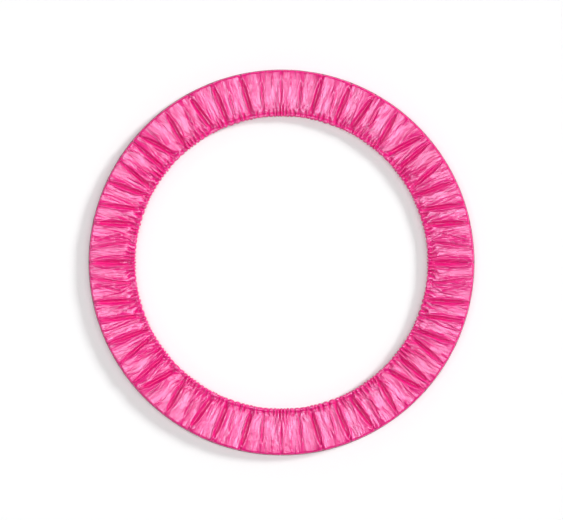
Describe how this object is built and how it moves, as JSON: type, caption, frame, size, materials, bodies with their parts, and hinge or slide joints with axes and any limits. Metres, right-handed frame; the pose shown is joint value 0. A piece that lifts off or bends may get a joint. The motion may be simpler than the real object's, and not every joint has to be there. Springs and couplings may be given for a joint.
{
  "type": "rhythmic gymnastics hoop in a fabric cover",
  "caption": "Round gymnastics hoop lying flat inside a pink satin ring cover that is taut at the rim and gathered by elastic round the open centre.",
  "frame": {"origin": "centre of the hoop, on the plane that the cover lies on", "axes": "+Z is the hoop's axis and points up from the lying cover; +Y points to 12 o'clock and +X to 3 o'clock, and the cover's cross seams lie on the X axis"},
  "size_m": [0.89, 0.89, 0.022],
  "materials": {
    "cover_fabric": "lightly crumpled satin, sheen along the folds",
    "elastic_band": "ribbed woven elastic, matt",
    "sewing_thread": "spun polyester thread",
    "hoop_plastic": "smooth, semi-gloss",
    "plug_plastic": "moulded, matt",
    "rivet_metal": "turned, semi-bright"
  },
  "bodies": {
    "cover": {"front_panel_upper": "cover_fabric", "front_panel_lower": "cover_fabric", "back_panel_upper": "cover_fabric", "back_panel_lower": "cover_fabric", "front_elastic": "elastic_band", "back_elastic": "elastic_band", "rim_seam_thread": "sewing_thread", "front_hem_thread": "sewing_thread", "back_hem_thread": "sewing_thread", "front_seam_thread_right": "sewing_thread", "front_seam_thread_left": "sewing_thread", "back_seam_thread_right": "sewing_thread", "back_seam_thread_left": "sewing_thread"},
    "hoop": {"hoop_tube": "hoop_plastic", "splice_plug": "plug_plastic", "splice_rivet_left": "rivet_metal", "splice_rivet_right": "rivet_metal"}
  },
  "joints": [
    {"name": "hoop_turn", "type": "hinge", "parent": "cover", "child": "hoop", "pos_m": [0, 0, 0.011], "axis": [0, 0, 1], "continuous": true}
  ]
}
